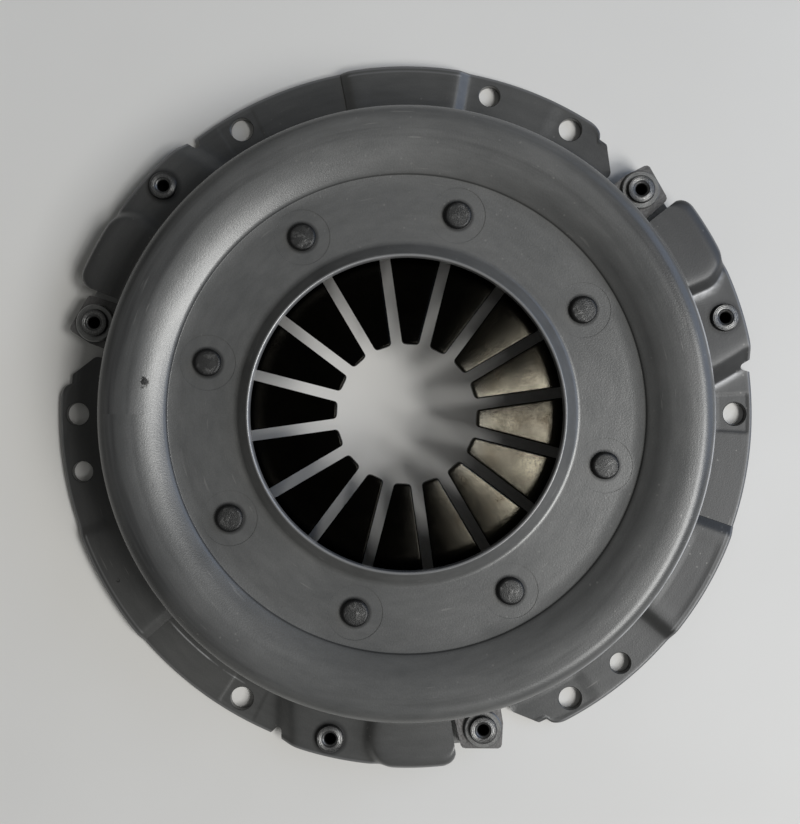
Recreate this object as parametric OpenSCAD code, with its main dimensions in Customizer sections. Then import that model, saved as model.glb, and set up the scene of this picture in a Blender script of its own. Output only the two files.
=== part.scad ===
// Clutch cover assembly with a diaphragm spring, as it lies free of the flywheel.
// The origin is on the clutch axis in the plane where the flange meets the flywheel,
// and +Z points away from the flywheel, towards the release bearing.

/* [Cover sheet] */
// Thickness of the pressed cover
cover_t = 4.5; // [3.5:0.25:5]
// Width of the flange, from the wall's foot to its outer edge
flange_w = 24.7; // [23.4:0.1:29]
// Radius of the rounded upper edge of the flange
flange_edge_r = 1.5; // [0.5:0.25:2.5]
// Radius of the bridges' upper edge
bridge_edge_r = 3.5; // [1.5:0.25:4]
// Radius of the bridges' corner beside the ear window, seen from above
bridge_corner_r = 5.5; // [3:0.5:8]
// Draft of the wall in mm of radius per mm of height
wall_draft = 0.08; // [0.04:0.01:0.1]
// Fillet between the flange and the wall
foot_fillet = 3.5; // [2:0.5:5]
// Height of the flat riveting ring's upper face
ring_top_z = 41.5; // [40:0.5:45]
// Width of the flat riveting ring outside the fulcrum circle
ring_margin = 7.7; // [5:0.1:9]
// Step between the flat ring and the shoulder
ring_step = 0.8; // [0.4:0.1:1.5]
// Rise of the shoulder's crest above the flat ring
crest_rise = 6.5; // [5.5:0.25:8.5]
// Distance from the wall's foot in to the crest
crest_inset = 12.6; // [11.6:0.1:14]
// Radius of the shoulder's outer corner
shoulder_r = 7; // [6:0.5:8]

/* [Collar] */
// Distance from the rivet circle in to the collar's bore
collar_inset = 21; // [19:0.5:27]
// Height of the collar above the flat ring
collar_h = 6; // [3:0.5:8]
// Slope of the collar's outer side
collar_slope = 50; // [46:1:60]
// Radius of the collar's rim
collar_rim_r = 0.8; // [0.5:0.1:1.2]
// Fillet between the collar and the flat ring
collar_fillet = 3; // [2:0.5:4]

/* [Flange levels] */
// Rise of the intermediate segments above the flywheel plane
mid_z = 3; // [1:0.5:5]
// Underside of the pads that carry the drive straps
pad_z = 8.5; // [7.5:0.5:10]
// Underside of the bridges over the drive straps
bridge_z = 14; // [13:0.5:15]

/* [Flange angles] */
// Angle where a low bolting segment begins
low_a = -19; // [-20:0.5:-15]
// Angle where it ends and the ramp to the strap pad begins
low_end_a = 8; // [6:0.5:9]
// Angle where the strap pad begins
pad_a = 12; // [11:0.25:12.5]
// Angle where the bridge begins
bridge_a = 24; // [23:0.25:25]
// Angle where the bridge ends and the ear window begins
window_a = 38.3; // [37:0.1:38.5]
// Angle of the window's far end at the wall
window_in_a = 49.5; // [49:0.25:51]
// Angle of the window's far end at the flange's edge
window_out_a = 55; // [53:0.25:56]
// Angle where the second low segment ends
low2_end_a = 79.5; // [78:0.25:80]
// Angular length of the short ramps
short_ramp_a = 1.3; // [1:0.1:2]
// Half width of the notch at the flange's edge
notch_w = 3; // [2:0.25:4]
// Depth of the notch
notch_depth = 4.5; // [3:0.25:6]
// Angle of the notch
notch_a = 8; // [7:0.25:9]
// Distance from the flange's edge in to the knee of that far end
window_knee = 14.3; // [10:0.5:18]
// Height of the ear window in the wall
window_top_z = 20.5; // [20:0.25:22]

/* [Holes] */
// Distance from a bolt hole's centre to the flange's edge
bolt_edge = 8.3; // [7.3:0.1:9.3]
// Diameter of a bolt hole
bolt_d = 10.5; // [8.5:0.25:11]
// Diameter of a dowel hole
dowel_d = 9.6; // [8:0.1:10]
// Angles of the dowel holes
dowel_angles = [75.3, 190.1, 310.7];
// Angle of the punch mark on one middle segment
punch_a = 210; // [203:0.5:217]
// Distance from the punch mark to the flange's edge
punch_edge = 7.3; // [5:0.1:12]

/* [Diaphragm spring] */
// Number of fingers
finger_count = 16; // [16:1:16]
// Angle of the first slot
slot_a = 8; // [7:0.5:9]
// Thickness of the spring steel
spring_t = 2.8; // [2.2:0.1:3]
// Width of the spring outside the land that it presses on
spring_margin = 4; // [3:0.25:4.5]
// Radius of the finger tips
tip_r = 29.8; // [26:0.2:34]
// Cone angle of the free spring
cone_a = 9.5; // [8:0.25:10]
// Width of the slots between the fingers
slot_w = 4.6; // [3:0.2:6]
// Width of the window at the end of a slot
slot_window_w = 15; // [13.5:0.5:16]
// Room between that window's inner end and the rivet's shoulder
slot_window_room = 3.3; // [1.8:0.1:4.8]
// Room between its outer end and the rivet's shoulder
slot_window_clear = 0.7; // [0.5:0.1:1]
// Corner radius of that window
slot_window_corner = 3; // [1:0.5:4]
// Gap between neighbouring spring sectors in the outer ring
split_gap = 0.3; // [0.2:0.05:0.4]

/* [Fulcrum] */
// Lever between the circle on which the spring tilts and the land that it presses on
fulcrum_lever = 24; // [23:0.1:24.1]
// Diameter of the two fulcrum wires
wire_d = 4; // [3.5:0.1:4]
// Running gap between each wire and the spring
fulcrum_gap = 0.4; // [0.35:0.05:0.5]
// Number of fulcrum rivets
rivet_count = 8; // [4:4:8]
// Gap between a rivet's shoulder and the wires
wire_rivet_gap = 0.2; // [0.1:0.05:0.5]
// Diameter of the rivet's shank in the cover
rivet_d = 8; // [7:0.25:8.5]
// Diameter of the shoulder between the cover and the lower head
rivet_shoulder_d = 10; // [9:0.25:10]
// Diameter of the upper head
rivet_head_d = 11.8; // [10.5:0.2:13]
// Height of the upper head
rivet_head_h = 2.2; // [1.5:0.1:3]
// Diameter of the coined circle round a rivet's head
coin_d = 23.8; // [20:0.2:24]
// Depth of the coined circle
coin_depth = 0.2; // [0.1:0.05:0.5]
// Diameter of the lower head that carries the lower wire
rivet_foot_d = 18; // [17:0.25:19]
// Thickness of the lower head
rivet_foot_h = 2.2; // [1.5:0.1:2.5]
// Clearance round a shank in its hole
shank_clear = 0.1; // [0.05:0.05:0.2]

/* [Pressure plate] */
// Outer radius of the pressure plate
plate_r = 127.5; // [126:0.25:128]
// Width of the pressure plate between its bore and its outer edge
plate_w = 42.5; // [39.5:0.5:45.5]
// Gap between the plate's edge and the foot of the cover's wall
plate_wall_gap = 3.6; // [3:0.1:4.6]
// Height of the friction face at rest
plate_z = 5; // [4.6:0.1:5.2]
// Thickness of the plate
plate_t = 12; // [11:0.25:12.5]
// Distance from the plate's edge in to the fulcrum land under the spring
land_inset = 8.5; // [8:0.25:9.5]
// Width of the fulcrum land at its foot
land_w = 10; // [8:0.5:11]
// Radius of the land's rounded top
land_top_r = 3; // [2:0.25:3.5]
// Running gap between the land and the free spring
land_gap = 0.4; // [0.35:0.05:0.5]
// Number of gaps that let air through the land
land_vents = 12; // [6:3:24]
// Width of such a gap
vent_w = 12; // [6:1:16]
// Chamfer of the friction face's edges
face_chamfer = 1; // [0.5:0.25:1.5]

/* [Ears and straps] */
// Number of drive strap stations
stations = 3; // [3:1:3]
// Angle of the rivet on the ear
ear_a = 43.7; // [43.4:0.1:44]
// Distance from the plate's edge out to the rivet on its ear
ear_reach = 19.4; // [18.6:0.1:20]
// Width of an ear
ear_w = 22; // [20:0.5:22]
// Distance from the ear's rivet to its outer edge
ear_margin = 10.8; // [9.4:0.1:12]
// Fall of that edge towards the bridge
ear_slope = 4; // [0:0.5:5]
// Thickness of an ear
ear_t = 8; // [6:0.25:8]
// Angle of the rivet on the strap pad
strap_a = 16.8; // [16:0.1:17.5]
// Distance from the rivet on the strap pad to the flange's edge
strap_edge = 9; // [8.5:0.1:9.3]
// Width of a drive strap
strap_w = 17; // [15:0.5:17]
// Thickness of one strap leaf
leaf_t = 1; // [0.8:0.05:1]
// Leaves in one strap pack
leaves = 3; // [3:1:3]
// Drop of the strap from the pad to the ear at rest
strap_drop = 3; // [2.5:0.1:3]
// Flat length of a strap beyond its rivet
strap_land = 14.5; // [14:0.5:18]
// Shank diameter of the strap rivets
strap_rivet_d = 8; // [7:0.25:8.5]
// Head diameter of the strap rivets
strap_head_d = 12.6; // [11.5:0.2:14]
// Head height of the strap rivets
strap_head_h = 2; // [1.5:0.1:2.2]
// Diameter of the hollow in a strap rivet
rivet_bore_d = 5; // [3:0.2:5.4]
// Depth of that hollow
rivet_bore_depth = 7; // [3:0.5:9]
// Diameter of the washer on an ear
washer_d = 17.2; // [15:0.2:17.4]
// Thickness of that washer
washer_t = 1.8; // [1:0.1:2]

/* [Hidden] */
leaf_names = ["top", "middle", "bottom"];
function two(n) = n < 10 ? str("0", n) : str(n);

// Finish of the surfaces
paint = [0.33, 0.34, 0.35];
steel = [0.62, 0.62, 0.60];
iron = [0.42, 0.42, 0.43];
dark_steel = [0.30, 0.30, 0.31];

big = 200;
eps = 0.01;
// Angle by which neighbouring stretches of the wall run into each other
lap_a = 0.1;
// How far a ramp's edges run into the sheets beside it, and stay short of their faces
ramp_lap = 0.5;
ramp_trim = 0.04;
// How far above the flange's underside the wall's own edge stays, inside the flange's sheet
wall_rise = 0.4;
// How far the bends' arcs start behind the wall's faces, so that they cross them
bend_sink = 0.05;
// How far the second low segment runs past its slanted end before that end is cut
end_lap_a = 1.2;
// Angle at which the revolved wall starts and ends
dome_start_a = 65;
station_pitch = 360 / stations;

// Radii, from the friction plate outwards and inwards
wall_base_r = plate_r + plate_wall_gap + cover_t;
flange_r = wall_base_r + flange_w;
bolt_pcd = 2 * (flange_r - bolt_edge);
crest_r = wall_base_r - crest_inset;
plate_bore_r = plate_r - plate_w;
land_r = plate_r - land_inset;
spring_r = land_r + spring_margin;
fulcrum_r = land_r - fulcrum_lever;
ring_r = fulcrum_r + ring_margin;
rivet_circle_r = fulcrum_r - wire_d / 2 - wire_rivet_gap - rivet_shoulder_d / 2;
slot_window_in = rivet_circle_r - rivet_shoulder_d / 2 - slot_window_room;
collar_r = rivet_circle_r - collar_inset;
ear_rivet_r = plate_r + ear_reach;
strap_rivet_r = flange_r - strap_edge;
crest_z = ring_top_z + crest_rise;

// The sheet's bends keep its thickness, so an inner bend and its outer one share a centre.
foot_outer = foot_fillet + cover_t;
ring_under_z = ring_top_z - cover_t;
function wall_out(z) = wall_base_r - wall_draft * z;
function wall_in(z) = wall_out(z) - cover_t;
// Where the flange's sheet starts, inside the wall's
sheet_start_r = wall_in(0) + 0.3;
// Points of an arc from angle a0 to a1
function arc(cx, cz, r, a0, a1, n = 8) =
    [for (i = [0:n]) let (a = a0 + (a1 - a0) * i / n) [cx + r * cos(a), cz + r * sin(a)]];
function polar(r, a) = [r * cos(a), r * sin(a)];

// Sine and cosine of the free cone, and the heights that the fulcrum gives
cone_s = sin(cone_a);
cone_c = cos(cone_a);
half_spring = spring_t / 2 / cone_c;
rivet_seat_z = ring_top_z - coin_depth;
upper_wire_z = ring_under_z - wire_d / 2;
fulcrum_z = upper_wire_z - wire_d / 2 - fulcrum_gap - half_spring;
lower_wire_z = fulcrum_z - half_spring - fulcrum_gap - wire_d / 2;
rivet_foot_top = lower_wire_z - wire_d / 2;
window_out_r = rivet_circle_r + rivet_shoulder_d / 2 + slot_window_clear;
// Top of the land, just below the free spring
land_z = fulcrum_z - (land_r - fulcrum_r) * tan(cone_a) - half_spring - land_gap;
plate_back_z = plate_z + plate_t;

// Heights of the strap packs
pack_t = leaves * leaf_t;
ear_z = pad_z - strap_drop;
ear_top_z = ear_z + ear_t;
ear_edge_r = ear_rivet_r + ear_margin;

// Crest arc: one centre on the crest's radius, through the edge of the flat ring
crest_run = crest_r - ring_r;
crest_drop = crest_z - ring_top_z - ring_step;
bulge_r = (crest_run * crest_run + crest_drop * crest_drop) / (2 * crest_drop);
bulge_z = crest_z - bulge_r;
bulge_a = asin(crest_run / bulge_r);
under_bulge_a = acos((ring_under_z - bulge_z) / (bulge_r - cover_t));
shoulder_z = crest_z - shoulder_r;
shoulder_c = wall_out(shoulder_z) - shoulder_r;

// Where the collar's slope would meet the flat ring
collar_foot_r = collar_r + collar_rim_r * (1 + sin(collar_slope))
    + (collar_h - collar_rim_r * (1 - cos(collar_slope))) / tan(collar_slope);

// The cover without its flange: wall, shoulder, flat ring and collar, as one bent sheet
function dome_profile() = concat(
    [[wall_in(wall_rise), wall_rise], [wall_out(wall_rise), wall_rise]],
    arc(shoulder_c, shoulder_z, shoulder_r, 0, 90, 8),
    arc(crest_r, bulge_z, bulge_r, 90, 90 + bulge_a, 10),
    [[ring_r, ring_top_z]],
    arc(collar_foot_r + collar_fillet * tan(collar_slope / 2), ring_top_z + collar_fillet,
        collar_fillet, 270, 270 - collar_slope, 6),
    arc(collar_r + collar_rim_r, ring_top_z + collar_h - collar_rim_r, collar_rim_r,
        90 - collar_slope, 180, 6),
    arc(collar_r + collar_fillet + 2, ring_under_z + collar_fillet + 2, collar_fillet + 2,
        180, 270, 6),
    arc(crest_r, bulge_z, bulge_r - cover_t, 90 + under_bulge_a, 90, 10),
    arc(shoulder_c, shoulder_z, shoulder_r - cover_t, 90, 0, 6)
);

// The flange at one level, from inside the wall's sheet to the rounded edge,
// with the fillet at the wall's foot
function flange_profile(z, er) =
    let (t = z + cover_t, r = wall_out(t + foot_fillet) - bend_sink) concat(
    [[sheet_start_r, z], [flange_r, z]],
    arc(flange_r - er, t - er, er, 0, 90, 5),
    arc(r + foot_fillet, t + foot_fillet, foot_fillet, 270, 180, 6),
    [[sheet_start_r, t + foot_fillet]]
);

// What the inner bend takes off the corner between the wall and the flange's underside
function bend_profile(z) = let (r = wall_in(z + foot_outer) - bend_sink) concat(
    [[r - 3, z + foot_outer]],
    arc(r + foot_outer, z + foot_outer, foot_outer, 180, 270, 6),
    [[r + foot_outer, z - 1], [r - 3, z - 1]]
);

module swept(a0, a1) {
    rotate([0, 0, a0]) rotate_extrude(angle = a1 - a0, $fn = 180) children();
}

// Stands a profile drawn in the tangential and Z directions on the radius at angle a
module radial(a, r0, r1) {
    rotate([0, 0, a]) translate([r0, 0, 0]) rotate([90, 0, 90])
        linear_extrude(r1 - r0) children();
}

// A level stretch of the flange
module level(a0, a1, z, er = flange_edge_r) {
    swept(a0, a1) polygon(flange_profile(z, er));
}

// Half of a ramp's run, and its height at a distance y from its middle
function ramp_half(a0, a1) = flange_r * sin((a1 - a0) / 2) + 0.3;
function ramp_z(h, za, zb, y) = (za + zb) / 2 + y * (zb - za) / (2 * h);

// Sloping sheet between two levels, from angle a0 at height za to a1 at height zb.
// Its four edges end inside the sheets that it joins.
module ramp(a0, a1, za, zb) {
    h = ramp_half(a0, a1);
    up = zb > za;
    bl = up ? -h + ramp_trim : -h - ramp_lap;
    br = up ? h + ramp_lap : h - ramp_trim;
    tr = up ? h - ramp_trim : h + ramp_lap;
    tl = up ? -h - ramp_lap : -h + ramp_trim;
    radial((a0 + a1) / 2, sheet_start_r, flange_r * cos((a1 - a0) / 2) - 0.02)
        polygon([[bl, ramp_z(h, za, zb, bl)], [br, ramp_z(h, za, zb, br)],
                 [tr, ramp_z(h, za, zb, tr) + cover_t], [tl, ramp_z(h, za, zb, tl) + cover_t]]);
}

// Takes the wall away up to a height
module open_below(a0, a1, z) {
    translate([0, 0, -1]) linear_extrude(z + 1)
        polygon([polar(wall_in(0) - 10, a0 - lap_a), polar(wall_out(0) + 10, a0 - lap_a),
                 polar(wall_out(0) + 10, a1 + lap_a), polar(wall_in(0) - 10, a1 + lap_a)]);
}

// Takes the wall away below a ramp
module open_below_ramp(a0, a1, za, zb) {
    h = ramp_half(a0, a1);
    l = zb > za ? -h - ramp_lap : -h + ramp_trim;
    r = zb > za ? h - ramp_trim : h + ramp_lap;
    radial((a0 + a1) / 2, wall_in(0) - 10, wall_out(0) + 10)
        polygon([[l, ramp_z(h, za, zb, l) + wall_rise], [r, ramp_z(h, za, zb, r) + wall_rise],
                 [r, -2], [l, -2]]);
}

next_low_a = low_a + station_pitch;

// The stretches of one third of the flange, in order round the cover
flange_pieces = 9;
module flange_piece(i) {
    if (i == 0) level(low_a, low_end_a, 0);
    if (i == 1) ramp(low_end_a, pad_a, 0, pad_z);
    if (i == 2) level(pad_a, bridge_a - short_ramp_a, pad_z);
    if (i == 3) ramp(bridge_a - short_ramp_a, bridge_a, pad_z, bridge_z);
    if (i == 4) level(bridge_a, window_a, bridge_z, bridge_edge_r);
    if (i == 5) level(window_in_a - end_lap_a / 2, low2_end_a, 0);
    if (i == 6) ramp(low2_end_a, low2_end_a + short_ramp_a, 0, mid_z);
    if (i == 7) level(low2_end_a + short_ramp_a, next_low_a - short_ramp_a, mid_z);
    if (i == 8) ramp(next_low_a - short_ramp_a, next_low_a, mid_z, 0);
}

// The revolved sheet, cut away below the raised stretches
module sheet_wall() {
    difference() {
        rotate([0, 0, dome_start_a]) rotate_extrude($fn = 180) polygon(dome_profile());
        for (s = [0:stations - 1]) rotate([0, 0, s * station_pitch]) wall_station();
    }
}

// The wall with the first n stretches of the flange, each joined to what is there
module sheet_upto(n) {
    if (n == 0) sheet_wall();
    else {
        sheet_upto(n - 1);
        rotate([0, 0, floor((n - 1) / flange_pieces) * station_pitch])
            flange_piece((n - 1) % flange_pieces);
    }
}

// What one third of the wall loses below the raised stretches and at the ear's window
module wall_station() {
    open_below_ramp(low_end_a, pad_a, 0, pad_z);
    open_below(pad_a, bridge_a - short_ramp_a, pad_z + wall_rise);
    open_below_ramp(bridge_a - short_ramp_a, bridge_a, pad_z, bridge_z);
    open_below(bridge_a, window_a, bridge_z + wall_rise);
    open_below(window_a, window_in_a - end_lap_a, window_top_z);
    open_below_ramp(low2_end_a, low2_end_a + short_ramp_a, 0, mid_z);
    open_below(low2_end_a + short_ramp_a, next_low_a - short_ramp_a, mid_z + wall_rise);
    open_below_ramp(next_low_a - short_ramp_a, next_low_a, mid_z, 0);
}

// What the inner bends of one third take off
module bend_station() {
    swept(low_a, low_end_a) polygon(bend_profile(0));
    swept(pad_a, bridge_a - short_ramp_a) polygon(bend_profile(pad_z));
    swept(bridge_a, window_a) polygon(bend_profile(bridge_z));
    swept(window_in_a - end_lap_a / 2, low2_end_a) polygon(bend_profile(0));
    swept(low2_end_a + short_ramp_a, next_low_a - short_ramp_a) polygon(bend_profile(mid_z));
}

module cover() {
    color(paint) difference() {
        sheet_upto(stations * flange_pieces);
        for (s = [0:stations - 1]) rotate([0, 0, s * station_pitch]) {
            bend_station();
            // Slanted end of the second low segment
            translate([0, 0, -1]) linear_extrude(window_top_z + 1)
                polygon([polar(wall_in(0) - 4, window_a + 2),
                         polar(wall_in(0) - 4, window_in_a),
                         polar(flange_r - window_knee, window_in_a),
                         polar(flange_r, window_out_a),
                         polar(flange_r + 20, window_out_a + 3.5),
                         polar(flange_r + 20, window_a + 2)]);
            // Notch beside the ramp
            rotate([0, 0, notch_a]) translate([flange_r - notch_depth, 0, -1])
                linear_extrude(pad_z + cover_t + 1) {
                    circle(r = 1, $fn = 24);
                    polygon([[0, -1], [notch_depth + 2, -notch_w], [notch_depth + 2, notch_w],
                             [0, 1]]);
                }
            // Rounded corner of the bridge
            rotate([0, 0, window_a]) translate([0, 0, bridge_z - 1])
                linear_extrude(cover_t + 2) polygon(concat(
                    arc(flange_r - bridge_corner_r, 0.05 - bridge_corner_r, bridge_corner_r, 0, 90, 8),
                    [[flange_r - bridge_corner_r, 5], [flange_r + 5, 5],
                     [flange_r + 5, 0.05 - bridge_corner_r]]));
            // Hole for the strap rivet
            rotate([0, 0, strap_a]) translate([strap_rivet_r, 0, pad_z - 1])
                cylinder(h = cover_t + 2, r = strap_rivet_d / 2 + shank_clear, $fn = 48);
        }
        for (i = [0:5]) rotate([0, 0, i * 60]) translate([bolt_pcd / 2, 0, -1])
            cylinder(h = cover_t + 2, d = bolt_d, $fn = 48);
        for (a = dowel_angles) rotate([0, 0, a]) translate([bolt_pcd / 2, 0, -1])
            cylinder(h = cover_t + 2, d = dowel_d, $fn = 48);
        for (i = [0:rivet_count - 1]) rivet_place(i) translate([0, 0, ring_under_z - 1])
            cylinder(h = cover_t + 2, r = rivet_d / 2 + shank_clear, $fn = 48);
        // Coined circles round the rivet heads
        for (i = [0:rivet_count - 1]) rivet_place(i) translate([0, 0, rivet_seat_z])
            cylinder(h = 1, d = coin_d, $fn = 64);
        // Punch mark
        rotate([0, 0, punch_a]) translate([flange_r - punch_edge, 0, mid_z + cover_t - 1])
            cylinder(h = 1.4, r1 = 1.2, r2 = 2.6, $fn = 32);
    }
}

// Puts a rivet on every second slot of the spring
module rivet_place(i) {
    rotate([0, 0, slot_a + 360 / finger_count + i * 360 / rivet_count])
        translate([rivet_circle_r, 0, 0]) children();
}

// Fulcrum rivet: rounded head on the cover, shank, shoulder through the spring's window
// and a wide lower head that holds the lower wire
module fulcrum_rivet(i) {
    r = rivet_head_d / 2;
    color(dark_steel) rivet_place(i) rotate_extrude($fn = 64) polygon(concat(
        [[0, rivet_foot_top - rivet_foot_h], [rivet_foot_d / 2 - 0.6, rivet_foot_top - rivet_foot_h],
         [rivet_foot_d / 2, rivet_foot_top - rivet_foot_h + 0.6], [rivet_foot_d / 2, rivet_foot_top],
         [rivet_shoulder_d / 2, rivet_foot_top], [rivet_shoulder_d / 2, ring_under_z],
         [rivet_d / 2, ring_under_z], [rivet_d / 2, rivet_seat_z], [r, rivet_seat_z]],
        arc(r - rivet_head_h * 0.6, ring_top_z + rivet_head_h * 0.4, rivet_head_h * 0.6, 0, 90, 5),
        [[0, ring_top_z + rivet_head_h]]));
}

module wire_ring(z) {
    color(steel) translate([0, 0, z]) rotate_extrude($fn = 180)
        translate([fulcrum_r, 0]) circle(d = wire_d, $fn = 32);
}

// Rounded rectangle from two bars and four corner discs
module soft_rect(x0, x1, w, r) {
    translate([x0, -w / 2 + r]) square([x1 - x0, w - 2 * r]);
    translate([x0 + r, -w / 2]) square([x1 - x0 - 2 * r, w]);
    for (x = [x0 + r, x1 - r]) for (y = [-1, 1])
        translate([x, y * (w / 2 - r)]) circle(r = r, $fn = 32);
}

// One finger with its share of the outer ring
module finger(i) {
    pitch = 360 / finger_count;
    in = (fulcrum_r - tip_r) / cone_c;
    out = (spring_r - fulcrum_r) / cone_c;
    function along(s, u) = [fulcrum_r + s * cone_c + u * cone_s,
                            fulcrum_z - s * cone_s + u * cone_c];
    color(steel) rotate([0, 0, slot_a + (i - 0.5) * pitch]) difference() {
        swept(-pitch / 2, pitch / 2)
            polygon([along(-in, -spring_t / 2), along(out, -spring_t / 2),
                     along(out, spring_t / 2), along(-in, spring_t / 2)]);
        for (side = [-1, 1]) rotate([0, 0, side * pitch / 2]) translate([0, 0, ring_under_z - big / 2])
            linear_extrude(big) {
                translate([0, -slot_w / 2]) square([slot_window_in + slot_window_corner, slot_w]);
                soft_rect(slot_window_in, window_out_r, slot_window_w, slot_window_corner);
                translate([window_out_r - 1, -split_gap / 2])
                    square([spring_r - window_out_r + 6, split_gap]);
            }
    }
}

// Pressure plate: cast ring with a flat friction face, a vented land under the spring
// and three ears for the drive straps
module pressure_plate() {
    c = face_chamfer;
    foot = land_w / 2;
    color(iron) difference() {
        union() {
            rotate_extrude($fn = 180) polygon(concat(
                [[plate_bore_r + c, plate_z], [plate_r - c, plate_z], [plate_r, plate_z + c],
                 [plate_r, plate_back_z - 2 * c], [plate_r - 2 * c, plate_back_z],
                 [land_r + foot, plate_back_z]],
                arc(land_r, land_z - land_top_r, land_top_r, 20, 160, 8),
                [[land_r - foot, plate_back_z], [plate_bore_r + 2 * c, plate_back_z],
                 [plate_bore_r, plate_back_z - 2 * c], [plate_bore_r, plate_z + c]]));
            for (s = [0:stations - 1]) rotate([0, 0, s * station_pitch + ear_a]) ear();
        }
        for (i = [0:land_vents - 1]) rotate([0, 0, (i + 0.5) * 360 / land_vents])
            translate([land_r - land_w, -vent_w / 2, plate_back_z - eps])
                cube([2 * land_w, vent_w, 2 * land_w]);
        for (s = [0:stations - 1]) rotate([0, 0, s * station_pitch + ear_a])
            translate([ear_rivet_r, 0, ear_z - 1])
                cylinder(h = ear_t + 2, r = strap_rivet_d / 2 + shank_clear, $fn = 48);
    }
}

// Ear with a sloping outer edge, soft corners and a broader root
module ear() {
    w = ear_w / 2;
    low = ear_edge_r - ear_slope;
    translate([0, 0, ear_z]) linear_extrude(ear_t)
        polygon([[plate_r - 8, -w - 4], [plate_r - 2, -w - 1.2], [plate_r + 1, -w],
                 [low - 1.8, -w - 0.6], [low - 0.5, -w - 0.1], [low + 0.2, -w + 1.2],
                 [ear_edge_r - 0.2, w - 6.4], [ear_edge_r - 0.5, w - 5.1], [ear_edge_r - 1.6, w - 4.3],
                 [ear_rivet_r, w - 1.5], [plate_r + 1, w], [plate_r - 2, w + 1.2],
                 [plate_r - 8, w + 4]]);
}

// Puts a child at a strap pad's rivet (where = 0) or at an ear's rivet (where = 1)
module strap_place(s, where) {
    rotate([0, 0, (s - 1) * station_pitch + (where == 0 ? strap_a : ear_a)])
        translate([where == 0 ? strap_rivet_r : ear_rivet_r, 0, 0]) children();
}

// One leaf, lying from the pad's rivet to the ear's rivet with a gentle S in height
module leaf(s, n) {
    p = polar(strap_rivet_r, strap_a);
    q = polar(ear_rivet_r, ear_a);
    span = norm(q - p);
    dir = atan2(q[1] - p[1], q[0] - p[0]);
    r = strap_w / 2;
    z0 = pad_z - n * leaf_t;
    z1 = ear_z - n * leaf_t;
    color(steel) rotate([0, 0, (s - 1) * station_pitch]) translate([p[0], p[1], 0]) rotate([0, 0, dir])
        difference() {
            intersection() {
                rotate([90, 0, 0]) translate([0, 0, -r]) linear_extrude(strap_w)
                    polygon([[-r, z0 - leaf_t], [strap_land, z0 - leaf_t],
                             [span - strap_land, z1 - leaf_t], [span + r, z1 - leaf_t],
                             [span + r, z1], [span - strap_land, z1], [strap_land, z0], [-r, z0]]);
                translate([0, 0, ear_z - pack_t - 1]) linear_extrude(pad_z + pack_t) {
                    circle(r = r, $fn = 64);
                    translate([span, 0]) circle(r = r, $fn = 64);
                    translate([0, -r]) square([span, strap_w]);
                }
            }
            for (x = [0, span]) translate([x, 0, ear_z - pack_t - 1])
                cylinder(h = pad_z + pack_t, r = strap_rivet_d / 2 + shank_clear, $fn = 48);
        }
}

// Tubular rivet from the underside of the strap pack at z0 to the seat of its head at z1
module tubular_rivet(z0, z1) {
    r = strap_head_d / 2;
    b = rivet_bore_d / 2;
    h = strap_head_h;
    lip = 0.8;
    mouth = 1.3;
    color(dark_steel) rotate_extrude($fn = 64) polygon(concat(
        [[0, z0 - h], [r - lip, z0 - h], [r, z0 - h + lip], [r, z0],
         [strap_rivet_d / 2, z0], [strap_rivet_d / 2, z1], [r, z1]],
        arc(r - lip, z1 + h - lip, lip, 0, 90, 4),
        [[b + mouth, z1 + h], [b, z1 + h - mouth], [b, z1 + h - rivet_bore_depth],
         [0, z1 + h - rivet_bore_depth - b / 2]]));
}

module cover_strap_rivet(s) {
    strap_place(s, 0) tubular_rivet(pad_z - pack_t, pad_z + cover_t);
}

module ear_rivet(s) {
    strap_place(s, 1) tubular_rivet(ear_z - pack_t, ear_top_z + washer_t);
}

module ear_washer(s) {
    strap_place(s, 1) color(iron) translate([0, 0, ear_top_z]) difference() {
        union() {
            cylinder(h = washer_t - 0.5, d = washer_d, $fn = 64);
            translate([0, 0, washer_t - 0.5])
                cylinder(h = 0.5, d1 = washer_d, d2 = washer_d - 1, $fn = 64);
        }
        translate([0, 0, -1]) cylinder(h = washer_t + 2, r = strap_rivet_d / 2 + shank_clear, $fn = 48);
    }
}

cover();
pressure_plate();
wire_ring(upper_wire_z);  // upper_fulcrum_ring
wire_ring(lower_wire_z);  // lower_fulcrum_ring
for (i = [1:finger_count])
    finger(i);
for (i = [1:rivet_count])
    fulcrum_rivet(i - 1);
for (s = [1:stations]) {
    for (n = [0:len(leaf_names) - 1])
        leaf(s, n);
    cover_strap_rivet(s);
    ear_rivet(s);
    ear_washer(s);
}
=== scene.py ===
# %% [markdown]
# # A clutch cover assembly, dressed for a studio picture
#
# A push-type clutch cover is a pressed sheet-steel bell with a slotted diaphragm spring under it.
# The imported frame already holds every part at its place, so this lesson only gives the parts
# that show most a truer surface, and gives every part its finish.

# %% Load the frame
import math

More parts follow.
